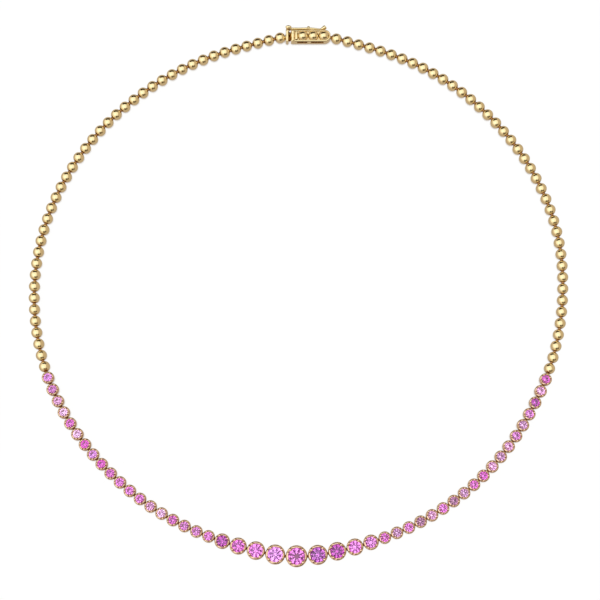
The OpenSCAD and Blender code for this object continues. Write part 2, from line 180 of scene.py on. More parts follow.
by_lens = add_node(tree, "LightPath").outputs["Is Camera Ray"]
pick = add_node(tree, "MixShader", ((0, by_lens), (1, mirrored.outputs[0]), (2, seen.outputs[0])))
tree.links.new(pick.outputs[0], output.inputs["Surface"])

table_corners = np.array([[-1, -1, 0], [1, -1, 0], [1, 1, 0], [-1, 1, 0]]) * TABLE_HALF
mesh = make_mesh("table", [(table_corners, np.array([[0, 1, 2, 3]]))])
table = make_object("table", mesh, table_white)


# Soft studio light: one wide bright panel overhead, brightest at a window a little to the
# left, that fades to a warm, dimmer room at table height. At the front stand a camera support
# and a stand, which show as soft dark spots in polished gold. Light that comes through the
# stones is patchier. The lens itself sees plain white past the table.
PANEL_LIGHT = (1.16, 1.19, 1.10)
PANEL_FROM = 0.42
PANEL_FULL = 0.78
PANEL_LEAN = -0.30
ROOM_SIDES = (-0.9, 0.5)
ROOM_RIGHT = (0.61, 0.515, 0.38)
ROOM_LEFT = (0.77, 0.68, 0.57)
ROOM_THROUGH_STONES = (0.23, 0.09, 0.22)
THROUGH_LOW = (0.3, 0.8)
THROUGH_DIM = (0.62, 0.42, 0.64)
THROUGH_BRIGHT = (2.45, 2.35, 2.45)
PATCHES_SCALE = 2.6
PATCHES_SOFT = (0.42, 0.58)
# The directions of the support's top and foot, of the stand and of the window, and the angles
# in degrees from them up to which each is full and past which it is gone
SPOTS = (((0.04, -0.81, 0.58), 5, 22), ((0.08, -0.95, 0.31), 5, 21), ((0.58, -0.73, 0.36), 6, 24))
SPOT_COLOUR = (0.12, 0.095, 0.055)
WINDOW = ((-0.38, -0.16, 0.91), 5, 24)
WINDOW_LIGHT = 1.6

world = bpy.data.worlds.new("studio")
scene.world = world
world.use_nodes = True
tree = world.node_tree
tree.nodes.clear()
direction = add_node(tree, "TexCoord").outputs["Generated"]
split = add_node(tree, "SeparateXYZ", [(0, direction)]).outputs
height = maths(tree, "ADD", split["Z"], maths(tree, "MULTIPLY", split["X"], PANEL_LEAN))
room = blend(tree, ramp_between(tree, split["X"], *ROOM_SIDES), ROOM_LEFT, ROOM_RIGHT)
lit = blend(tree, ramp_between(tree, height, PANEL_FROM, PANEL_FULL), room, PANEL_LIGHT)


def towards(place, inner, outer):
    """1 within the inner angle of a direction, in degrees, and 0 past the outer one."""
    near = add_node(tree, "VectorMath", ((0, direction), (1, np.array(place) / np.linalg.norm(place))))
    near.operation = "DOT_PRODUCT"
    return ramp_between(tree, near.outputs["Value"], *np.cos(np.radians([outer, inner])))


lit = blend(tree, towards(*WINDOW), lit, (WINDOW_LIGHT,) * 3)
for spot in SPOTS:
    lit = blend(tree, towards(*spot), lit, SPOT_COLOUR)
ray = add_node(tree, "LightPath").outputs
through = ray["Is Transmission Ray"]
patches = add_node(tree, "TexNoise", (("Vector", direction), ("Scale", PATCHES_SCALE), ("Detail", 1)))
patches = ramp_between(tree, patches.outputs["Fac"], *PATCHES_SOFT)
patchy = blend(tree, 1.0, lit, blend(tree, patches, THROUGH_DIM, THROUGH_BRIGHT), "MULTIPLY")
lit = blend(tree, through, lit, patchy)
low = maths(tree, "SUBTRACT", 1.0, ramp_between(tree, split["Z"], *THROUGH_LOW))
lit = blend(tree, maths(tree, "MULTIPLY", low, through), lit, ROOM_THROUGH_STONES)
studio = add_node(tree, "Background", [("Color", lit)])
white = add_node(tree, "Background")
pick = add_node(tree, "MixShader", (
    (0, ray["Is Camera Ray"]), (1, studio.outputs[0]), (2, white.outputs[0])))
add_node(tree, "OutputWorld", [("Surface", pick.outputs[0])])


# A dark card behind the necklace, which gives polished gold and facets their dark edges, and
# the dark front of the lens above it, which only shows in the stones.
CARD_AT = (-60, 330, 146)
CARD_SIZE = (450, 300)
LENS_FRONT_R = 80 * MM
LENS_FRONT_PAST = 5 * MM
DARK = (0.05, 0.032, 0.012)
LENS_DARK = (0.22, 0.07, 0.22)


def full_turn(n):
    return np.linspace(0, 2 * np.pi, n, endpoint=False)


middle = np.array(CARD_AT) * MM
side = np.array([middle[1], -middle[0], 0]) / np.hypot(*middle[:2]) * CARD_SIZE[0] / 2 * MM
up = np.array([0, 0, CARD_SIZE[1] / 2 * MM])
card_corners = middle + np.array([-side - up, side - up, side + up, up - side])
turn = full_turn(32)[:, None]
lens_across = np.array([np.cos(TURN), np.sin(TURN), 0])
lens_ring = np.array(camera.location) + away * LENS_FRONT_PAST + LENS_FRONT_R * (
    np.cos(turn) * lens_across + np.sin(turn) * np.cross(away, lens_across))
for name, outline, colour in (
        ("card_behind", card_corners, DARK), ("lens_front", lens_ring, LENS_DARK)):
    dark, tree, output = new_material(name)
    shader = add_node(tree, "Emission", [("Color", (*colour, 1))])
    tree.links.new(shader.outputs[0], output.inputs["Surface"])
    card = make_object(name, make_mesh(name, [(outline, np.arange(len(outline))[None])]), dark)
    card.visible_camera = card.visible_diffuse = card.visible_shadow = False
    card.visible_glossy = name == "card_behind"


# The links hang on each other's cross pins. A bead's highest point and a stone's culet lie
# over its link's middle, so the frame says where each link is, and the line from the pin
# behind a link through its middle is the link's own direction. They are counted clockwise
# from the far end of the clasp's box.
PIN_INSET = 0.58 * MM
CLASP_W = 3 * MM
SAME_PLACE = 0.002 * MM
BESIDE_STONE = 0.3 * MM


def points_of(node):
    """The corners of a frame node's mesh, as an array (n, 3)."""
    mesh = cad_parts[node].data
    points = np.empty(len(mesh.vertices) * 3, np.float32)
    mesh.vertices.foreach_get("co", points)
    return points.reshape(-1, 3).astype(float)


def ends_of(node, side):
    """Where a node's highest (side 1) or lowest (side -1) points lie, seen from above."""
    points = points_of(node)
    height = points[:, 2] * side
    return np.unique(points[height > height.max() - SAME_PLACE, :2], axis=0)


SIDES = ("right", "left")
GRADUATED = (1, 2, 3, 4)
found = [(f"bead_string_{side}", 1) for side in SIDES]
found += [(f"small_stones_{side}", -1) for side in SIDES]
found += [(f"graduated_stone_{side}_{k}", -1) for side in SIDES for k in GRADUATED]
found += [("centre_stone", -1)]
middles = {node: ends_of(node, side) for node, side in found}
owner = np.concatenate([[node] * len(places) for node, places in middles.items()])
middle = np.concatenate(list(middles.values()))
clockwise = np.argsort(np.arctan2(middle[:, 0], middle[:, 1]) % (2 * np.pi))
owner, middle = owner[clockwise], middle[clockwise]

bead_low, bead_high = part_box("bead_string_right")
BEAD_R = (bead_high.z - bead_low.z) / 2
HINGE_Z = BEAD_R


# Each link is drawn with X along the chain, Z up and its middle over the origin, and is
# then turned into its own direction and moved to its place.
clasp_low, clasp_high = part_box("clasp_box")
pin = np.array([clasp_high.x - PIN_INSET, clasp_low.y + CLASP_W / 2])
half_len = np.where(np.char.startswith(owner, "bead"), BEAD_R, 0.0)


def half_width(node, stone):
    """Half the width of a setting: how far its wall reaches to the side of its stone's
    culet, measured square to the line through the two links beside it."""
    points = points_of(node)[:, :2]
    i = np.flatnonzero(owner == stone)[0]
    along = middle[(i + 1) % len(middle)] - middle[i - 1]
    along = along / np.hypot(*along)
    offset = points - middle[i]
    ahead = np.abs(offset @ along)
    return np.abs(offset @ [along[1], -along[0]])[ahead < BESIDE_STONE].max()


SETTINGS = [(f"small_settings_{side}", f"small_stones_{side}") for side in SIDES]
SETTINGS += [(f"graduated_setting_{side}_{k}", f"graduated_stone_{side}_{k}")
             for side in SIDES for k in GRADUATED]
SETTINGS += [("centre_setting", "centre_stone")]
for node, stone in SETTINGS:
    half_len[owner == stone] = half_width(node, stone)

heading = []
for place, half in zip(middle, half_len):
    to_middle = (place - pin) / np.hypot(*(place - pin))
    heading.append(to_middle)
    pin = place + to_middle * (half - PIN_INSET)
heading = np.array(heading)


def columns(*values):
    """Puts x, y and z, or the corners of faces, side by side in rows."""
    return np.stack(np.broadcast_arrays(*values), axis=-1)


def along_chain(part, links):
    """Copies of a part, one at each link. With c and s the cosine and sine of the link's
    heading, a point (x, y, z) goes to (cx - sy, sx + cy, z) plus the link's middle."""
    points, faces = part
    c, s = heading[links, 0][:, None], heading[links, 1][:, None]
    x, y, z = points.T
    placed = columns(c * x - s * y + middle[links, 0][:, None],
                     s * x + c * y + middle[links, 1][:, None], z)
    shift = np.arange(len(c))[:, None, None] * len(points)
    return placed.reshape(-1, 3), (faces[None] + shift).reshape(-1, faces.shape[1])


# Polished yellow gold. Wear from handling leaves it almost mirror bright, with a haze of fine
# scratches that a soft cloth has drawn out. Each point also stores a share by which its colour is
# blended to brown: painted shade where links meet, in recesses and under other parts, with a
# little polish left in the recesses.
BEAD_GOLD = (0.93, 0.77, 0.465)
# Painted darker and rosier than the beads' gold: painted shade and a painted reflection of floor and
# stones
SETTING_GOLD = (0.86, 0.62, 0.45)
# A darker, browner gold for the parts deep in the clasp's box: painted shade
DULL_SHADED_GOLD = (0.66, 0.40, 0.13)
# The brown of the painted shade, and of polish, that each point's stored share blends in
SHADE_AND_POLISH_BROWN = (0.34, 0.15, 0.05)
HOLLOW_MATT = 0.2
POLISH = 0.10
HAZE = 0.07
HAZE_SIZE = 0.55 * MM
SCRATCH_SIZE = 0.05 * MM
SCRATCH_DEPTH = 0.0006 * MM
SCRATCH_SHAPE = (1, 0.12, 0.6)
SCRATCH_TURN = (0.3, 0.2, 0.7)
HAZE_SOFT = (0.35, 0.75)
DULL_HAZE = 0.6
WARMTH = 0.06
WARMER = (1.0, 0.86, 0.68)

worn_and_shaded = bpy.data.node_groups.new("worn_and_shaded_gold", "ShaderNodeTree")
for socket, default in (("Haze", HAZE), ("Polish", POLISH), ("Warmth", WARMTH), ("Shade_Polish_Share", 0.0)):
    made = worn_and_shaded.interface.new_socket(socket, in_out="INPUT", socket_type="NodeSocketFloat")
    made.default_value = default
made = worn_and_shaded.interface.new_socket("Metal", in_out="INPUT", socket_type="NodeSocketColor")
for socket, kind in (("Color", "Color"), ("Roughness", "Float"), ("Height", "Float")):
    worn_and_shaded.interface.new_socket(socket, in_out="OUTPUT", socket_type="NodeSocket" + kind)
given = worn_and_shaded.nodes.new("NodeGroupInput").outputs
result = worn_and_shaded.nodes.new("NodeGroupOutput").inputs
place = add_node(worn_and_shaded, "TexCoord").outputs["Object"]
cloud = add_node(worn_and_shaded, "TexNoise", (("Vector", place), ("Scale", 1 / HAZE_SIZE), ("Detail", 3)))
cloud = cloud.outputs["Fac"]
drawn = add_node(worn_and_shaded, "Mapping", (
    ("Vector", place), ("Scale", SCRATCH_SHAPE), ("Rotation", SCRATCH_TURN)))
scratch = add_node(worn_and_shaded, "TexNoise", (
    ("Vector", drawn.outputs[0]), ("Scale", 1 / SCRATCH_SIZE), ("Detail", 2)))
worn_and_shaded.links.new(scratch.outputs["Fac"], result["Height"])
hazy = maths(worn_and_shaded, "MULTIPLY", ramp_between(worn_and_shaded, cloud, *HAZE_SOFT), given["Haze"])
matt = maths(worn_and_shaded, "MULTIPLY", given["Shade_Polish_Share"], HOLLOW_MATT)
rough = maths(worn_and_shaded, "ADD", maths(worn_and_shaded, "ADD", hazy, given["Polish"]), matt)
worn_and_shaded.links.new(rough, result["Roughness"])
warmth = maths(worn_and_shaded, "MULTIPLY", cloud, given["Warmth"])
warmer = blend(worn_and_shaded, warmth, given["Metal"], WARMER, "MULTIPLY")
# Painted shade: the stored share blends the metal towards brown, with some polish left in recesses
worn_and_shaded.links.new(blend(worn_and_shaded, given["Shade_Polish_Share"], warmer, SHADE_AND_POLISH_BROWN), result["Color"])


def gold(name, colour, haze):
    """A polished gold: its node group gives its colour, haze and scratches, and blends in the painted
    shade that each point stores.
    """
    material, tree, output = new_material(name)
    shade_and_polish = add_node(tree, "Attribute")
    shade_and_polish.attribute_name = "shade_and_polish"
    wear_and_shade = tree.nodes.new("ShaderNodeGroup")
    wear_and_shade.node_tree = worn_and_shaded
    wear_and_shade.inputs["Metal"].default_value = (*colour, 1)
    wear_and_shade.inputs["Haze"].default_value = haze
    tree.links.new(shade_and_polish.outputs["Fac"], wear_and_shade.inputs["Shade_Polish_Share"])
    scratches = add_node(tree, "Bump", (
        ("Distance", SCRATCH_DEPTH), ("Height", wear_and_shade.outputs["Height"])))
    shader = add_node(tree, "BsdfPrincipled", (
        ("Metallic", 1), ("Normal", scratches.outputs[0]),
        ("Base Color", wear_and_shade.outputs["Color"]), ("Roughness", wear_and_shade.outputs["Roughness"])))
    tree.links.new(shader.outputs[0], output.inputs["Surface"])
    return material


yellow_gold = gold("yellow_gold", BEAD_GOLD, HAZE)
dull_shaded_gold = gold("dull_shaded_gold", DULL_SHADED_GOLD, DULL_HAZE)
rosy_gold = gold("rosy_gold", SETTING_GOLD, HAZE)


# Plain round beads of polished yellow gold, 41 on the left and 40 on the right. Each is
# sawn open at its front for a hinge: the flat tongue of the next one turns there on a pin.
BEAD_SIDES = 32
BEAD_RINGS = 15
POCKET_HALF_W = 0.39 * MM
POCKET_R = 0.54 * MM
MOUTH_ROUND = 0.05 * MM
LINK_GAP = 0.15 * MM
PIN_R = 0.14 * MM
PIN_HALF = 0.64 * MM
EYE_R = 0.42 * MM
EYE_HOLE_R = 0.26 * MM
TONGUE_HALF_T = 0.33 * MM
TONGUE_CROWN = 0.13 * MM
TONGUE_ROOT = 0.35 * MM
EDGE = 0.05 * MM
MOUTH_POWER = 6
SHARPEST = 40
# How far the gold is painted brown: near a bead's two ends, as painted shade where the next link
# shades it with some old polish, fading out between these angles in degrees from its axis; and on
# the tongues and pins, as painted shade between the links
POLE_SHADE_AND_POLISH = 0.9
POLE_FADE = (26, 42)
TONGUE_SHADE = 0.95
PIN_SHADE = 0.5


def ring_faces(rings, per_ring, hoop=False):
    """Faces with four corners between each ring of points and the next. On a hoop the last
    ring meets the first again."""
    m = np.arange(rings if hoop else rings - 1)[:, None]
    n = np.arange(per_ring)[None, :]
    here, there, after = m * per_ring, (m + 1) % rings * per_ring, (n + 1) % per_ring
    return columns(here + n, here + after, there + after, there + n).reshape(-1, 4)


def skin_over(rings):
    """A closed skin over rings (m, n, 3) of an even number of points. Faces with two sides
    each on the first and on the last ring meet in the middle point of that ring."""
    m, n = rings.shape[:2]
    points = np.concatenate([rings.reshape(-1, 3), rings[0].mean(0)[None], rings[-1].mean(0)[None]])
    even = np.arange(0, n, 2)
    last = (m - 1) * n
    start = columns(m * n, (even + 2) % n, even + 1, even)
    end = columns(m * n + 1, last + even, last + even + 1, last + (even + 2) % n)
    return points, np.concatenate([ring_faces(m, n), start, end])


def hoop_over(rings):
    m, n = rings.shape[:2]
    return rings.reshape(-1, 3), ring_faces(m, n, hoop=True)


def rod(start, end, radius, sides=12):
    """A round bar from start to end with its two end edges broken."""
    start, end = np.asarray(start, float), np.asarray(end, float)
    axis = (end - start) / np.linalg.norm(end - start)
    across = np.cross(axis, [0.3, 0.5, 0.81])
    across = across / np.linalg.norm(across)
    turn = full_turn(sides)[:, None]
    circle = np.cos(turn) * across + np.sin(turn) * np.cross(axis, across)
    edge = radius * 0.15
    stations = [(start, radius - edge), (start + axis * edge, radius),
                (end - axis * edge, radius), (end, radius - edge)]
    return skin_over(np.array([place + circle * r for place, r in stations]))


def hinge_tongue(back_x):
    """The flat tongue behind a link whose back is at x = back_x. Seen from the side it is a
    ring round the eye's hole whose outside, at a turn a from the chain's direction, lies at
    the eye's radius r behind the eye, and before it on a straight strip: at r over the sine
    of a, or at the strip's length over the cosine of a, whichever is nearer."""
    reach = LINK_GAP + PIN_INSET + TONGUE_ROOT
    turn = full_turn(28)
    c, s = np.cos(turn), np.sin(turn)
    strip = np.minimum(EYE_R / np.maximum(np.abs(s), 1e-6), reach / np.maximum(c, 1e-6))
    outside = np.where(c > 0, strip, EYE_R)
    crown = np.array([-1, -0.9, -0.65, -0.3, 0.3, 0.65, 0.9, 1])
    out = outside - TONGUE_CROWN * (1 - np.sqrt(1.02 - crown ** 2))[:, None]
    hole = EYE_HOLE_R + np.array([EDGE, 0, 0, EDGE])[:, None] + 0 * turn
    hole_side = np.array([1, 0.85, -0.85, -1])
    side = np.concatenate([crown, hole_side]) * TONGUE_HALF_T
    far = np.concatenate([out, hole])
    eye_x = back_x - LINK_GAP - PIN_INSET
    return hoop_over(columns(eye_x + far * c, side[:, None], HINGE_Z + far * s))


def bead():
    """A ball whose rings run from the pole behind to the pocket's mouth in front. The mouth
    is a rounded slot: at a turn a round the chain's direction its edge lies at
    ((|cos a| / w)^6 + (|sin a| / h)^6)^(-1/6) from the axis. There the rings leave the ball
    and run into the pocket, along the axis."""
    turn = full_turn(BEAD_SIDES)
    c, s = np.cos(turn), np.sin(turn)
    mouth = ((np.abs(c) / POCKET_HALF_W) ** MOUTH_POWER
             + (np.abs(s) / POCKET_R) ** MOUTH_POWER) ** (-1 / MOUTH_POWER)
    last = np.pi - np.arcsin((mouth + MOUTH_ROUND) / BEAD_R)
    angle = np.linspace(0.06, 1, BEAD_RINGS)[:, None] * last
    x, out = -BEAD_R * np.cos(angle), BEAD_R * np.sin(angle)
    pocket_back = BEAD_R - PIN_INSET - POCKET_R
    edge_x = x[-1]
    inside_x = np.stack([edge_x - 0.1 * MOUTH_ROUND, edge_x - MOUTH_ROUND,
                         0 * c + pocket_back + EDGE, 0 * c + pocket_back])
    inside_out = np.stack([mouth + 0.35 * MOUTH_ROUND, mouth, mouth, mouth - EDGE])
    x, out = np.concatenate([x, inside_x]), np.concatenate([out, inside_out])
    return skin_over(columns(x, out * c, HINGE_Z + out * s))


def hinge_pin(front_x):
    x = front_x - PIN_INSET
    return rod([x, -PIN_HALF, HINGE_Z], [x, PIN_HALF, HINGE_Z], PIN_R)


def smooth(mesh, sharpest):
    """Smooth shading, apart from edges that turn more than an angle in degrees."""
    mesh.polygons.foreach_set("use_smooth", np.ones(len(mesh.polygons), bool))
    mesh.set_sharp_from_angle(angle=np.radians(sharpest))


def store_shade_and_polish(mesh, shares):
    """Stores each point's share, 0 to 1, of painted shade and of polish left in recesses."""
    values = np.concatenate([np.ravel(share) for share in shares])
    mesh.attributes.new("shade_and_polish", "FLOAT", "POINT").data.foreach_set("value", values.astype(np.float32))


def faded(angle, full, gone):
    """1 up to one angle, 0 from the other one on and a straight fall between them."""
    return np.clip((gone - angle) / (gone - full), 0, 1)


def gold_piece(name, mesh_name, parts, shares, metal):
    """An object of a polished gold, made of parts; shares give each point's painted shade and polish.
    """
    mesh = make_mesh(mesh_name, parts)
    store_shade_and_polish(mesh, shares)
    smooth(mesh, SHARPEST)
    return make_object(name, mesh, metal)


bead_parts = [bead(), hinge_tongue(-BEAD_R), hinge_pin(BEAD_R)]
from_pole = np.degrees(np.arccos(np.clip(np.abs(bead_parts[0][0][:, 0]) / BEAD_R, 0, 1)))
ball_shade_and_polish = POLE_SHADE_AND_POLISH * faded(from_pole, *POLE_FADE)
# The pocket inside the mouth is painted fully brown: painted shade
ball_shade_and_polish[BEAD_RINGS * BEAD_SIDES:] = 1
bead_shade_and_polish = [ball_shade_and_polish, np.full(len(bead_parts[1][0]), TONGUE_SHADE),
                np.full(len(bead_parts[2][0]), PIN_SHADE)]
for side in SIDES:
    node = f"bead_string_{side}"
    here = np.flatnonzero(owner == node)
    parts = [along_chain(part, here) for part in bead_parts]
    shares = [np.tile(share, len(here)) for share in bead_shade_and_polish]
    beads = gold_piece(f"beads_{side}", node, parts, shares, yellow_gold)
    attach(beads, "necklace")
    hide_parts(node)


# Round brilliant cut pink and violet sapphires, 2.1 mm wide along the sides and up to 4 mm
# at the centre, each of its own tone. Their facets are cut flat and left sharp.
TONES = {
    "W": (0.93, 0.68, 0.95),
    "L": (0.82, 0.39, 0.91),
    "P": (0.83, 0.49, 0.79),
    "V": (0.88, 0.31, 0.86),
    "C": (0.73, 0.24, 0.69),
    "H": (0.78, 0.22, 0.71),
    "M": (0.83, 0.15, 0.72),
    "D": (0.71, 0.16, 0.64),
    "U": (0.52, 0.10, 0.51),
    "O": (0.74, 0.30, 0.73),
    "X": (0.67, 0.40, 0.68),
    "B": (0.54, 0.17, 0.60),
    "G": (0.51, 0.26, 0.45),
}
# One letter for each stone, from the last on the right, by the centre, to the first on the left
TONE_ROW = "DPUOXOPXPDHXGVPGVXH" + "OVUB" + "C" + "LVHU" + "VOOHWPVVVHMLMWHWPOL"
PAVILION_SLOPE = np.tan(np.radians(41))
TABLE_SHARES = (0.53, 0.61)
STAR_SHARE = 0.99
# How far out the corners at the foot of the pavilion's kites and the culet's corners lie, as
# shares of the radius. The centre stone is of an old cut, with its culet ground wide open.
MODERN_CUT = (0.24, 0.04)
OLD_CUT = (0.30, 0.27)


def stone_sizes(node):
    """Girdle radius, and the heights of the table, the girdle's edges and the culet, of the
    stones of a node, which are all alike."""
    points = points_of(node)
    out = np.hypot(*(points[:, None, :2] - middles[node][None]).transpose(2, 0, 1)).min(axis=1)
    edge = points[out > out.max() - 2 * SAME_PLACE, 2]
    return out.max(), points[:, 2].max(), edge.max(), edge.min(), points[:, 2].min()


def brilliant(sizes, table_r, low_share, culet_share, start):
    """A round brilliant by rings of corners: 8 round the table, 8 outer corners of the
    stars, 16 on each edge of the girdle, 8 side corners of the long kites, and 8 round the
    flat culet. The kites' side corners lie on the kites' own planes, so every facet is flat.
    The first corner lies at the turn that start gives."""
    r, table_z, girdle_z, girdle_low, culet_z = sizes
    star_r = r * (1 + table_r) / 2 * STAR_SHARE
    low_r = r * low_share
    half_cos = np.cos(np.pi / 8)
    crown_slope = (table_z - girdle_z) / (r * (1 - table_r))
    star_z = girdle_z + (r - star_r * half_cos) * crown_slope
    low_z = culet_z + low_r * half_cos * (girdle_low - culet_z) / r

    def ring(n, radius, z, first):
        turn = start + first + np.arange(n) * 2 * np.pi / n
        return columns(radius * np.cos(turn), radius * np.sin(turn), z)

    eighth = np.pi / 8
    points = np.concatenate([
        ring(8, r * table_r, table_z, 0), ring(8, star_r, star_z, eighth), ring(16, r, girdle_z, 0),
        ring(16, r, girdle_low, 0), ring(8, low_r, low_z, eighth),
        ring(8, r * culet_share, culet_z + (low_z - culet_z) * culet_share / low_share, eighth)])
    t, s, g, b, l, c = 0, 8, 16, 32, 48, 56
    k = np.arange(8)
    on, back = (k + 1) % 8, (k + 7) % 8
    j = np.arange(16)
    j_on = (j + 1) % 16
    fan = np.arange(1, 7)
    facets = [
        (t, t + fan, t + fan + 1),
        (t + k, s + k, t + on),
        (t + k, s + back, g + 2 * k), (t + k, g + 2 * k, s + k),
        (s + k, g + 2 * k, g + 2 * k + 1), (s + k, g + 2 * k + 1, g + (2 * k + 2) % 16),
        (g + j, b + j, b + j_on), (g + j, b + j_on, g + j_on),
        (b + 2 * k, l + k, b + 2 * k + 1), (b + 2 * k + 1, l + k, b + (2 * k + 2) % 16),
        (b + 2 * k, l + back, c + back), (b + 2 * k, c + back, c + k), (b + 2 * k, c + k, l + k),
        (c, c + fan, c + fan + 1),
    ]
    return points, np.concatenate([columns(*corners) for corners in facets])


ZONE_SIZE = 0.9 * MM
ZONE_DEPTH = 0.35
ZONE_SOFT = (0.35, 0.65)
SAPPHIRE_IOR = 1.77
DRAWS = 7

sapphire, tree, output = new_material("sapphire")
place = add_node(tree, "TexCoord").outputs["Object"]
zones = add_node(tree, "TexNoise", (("Vector", place), ("Scale", 1 / ZONE_SIZE), ("Detail", 1)))
zones = ramp_between(tree, zones.outputs["Fac"], *ZONE_SOFT)
tone = add_node(tree, "Attribute")
tone.attribute_name = "tone"
tone = tone.outputs["Color"]
coloured = blend(tree, maths(tree, "MULTIPLY", zones, ZONE_DEPTH), tone, tone, "MULTIPLY")
shader = add_node(tree, "BsdfPrincipled", (
    ("IOR", SAPPHIRE_IOR), ("Transmission Weight", 1), ("Roughness", 0), ("Base Color", coloured)))
tree.links.new(shader.outputs[0], output.inputs["Surface"])

stone_links = np.flatnonzero(~np.char.startswith(owner, "bead"))
tone_of = dict(zip(stone_links, TONE_ROW))
cutting = np.random.default_rng(DRAWS)
for node, stone in SETTINGS:
    here = np.flatnonzero(owner == stone)
    sizes = stone_sizes(stone)
    cut = OLD_CUT if stone == "centre_stone" else MODERN_CUT
    parts = []
    for i in here:
        table_r, start = cutting.uniform(*TABLE_SHARES), cutting.uniform(0, np.pi / 4)
        points, facets = brilliant(sizes, table_r, *cut, start)
        parts.append(along_chain((points, facets), np.array([i])))
    mesh = make_mesh(stone, parts)
    colours = np.array([(*TONES[tone_of[i]], 1) for i in here])
    attribute = mesh.color_attributes.new("tone", "FLOAT_COLOR", "POINT")
    attribute.data.foreach_set("color", np.repeat(colours, len(points), axis=0).ravel())
    stones = make_object(stone.replace("stone", "sapphire"), mesh, sapphire)
    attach(stones, "necklace")
    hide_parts(stone)


# Cup settings of gold, painted darker and rosier than the beads: painted shade and a painted
# reflection of the floor and the pink stones, which the cups' slopes mirror. Each is turned from
# one piece, open at the back, with its rim filed into low arcs between four prongs that are
# pushed over the stone.
SETTING_SIDES = 64
TABLE_DROP = 0.03 * MM
CREST_W = 0.05 * MM
SHOULDER = 0.38 * MM
BULGE = 0.07 * MM
LIP = 0.04 * MM
LIP_Z = 0.09 * MM
STONE_FIT = 0.06 * MM
BACK_HOLE_SHARE = 0.3
PRONG_R = 0.21 * MM
PRONG_GROWTH = 0.03
PRONG_LONG = 1.35
PRONG_FLAT = 0.62
PRONG_LEAN = np.radians(14)
SMALL_D = 3 * MM
NOTCH_AT = np.radians(14)
NOTCH_W = np.radians(6)
NOTCH_DEPTH = 0.34 * MM
NOTCH_CUT = 0.05 * MM
# Painted shade on the wall at the cup's two ends, beside the next link, fading out between these angles
# in degrees from the chain's direction
END_SHADE = 0.9
END_FADE = (16, 34)
WIDEST = 0.62
UNDERCUT = 0.38
UNDERCUT_POWER = 2.2


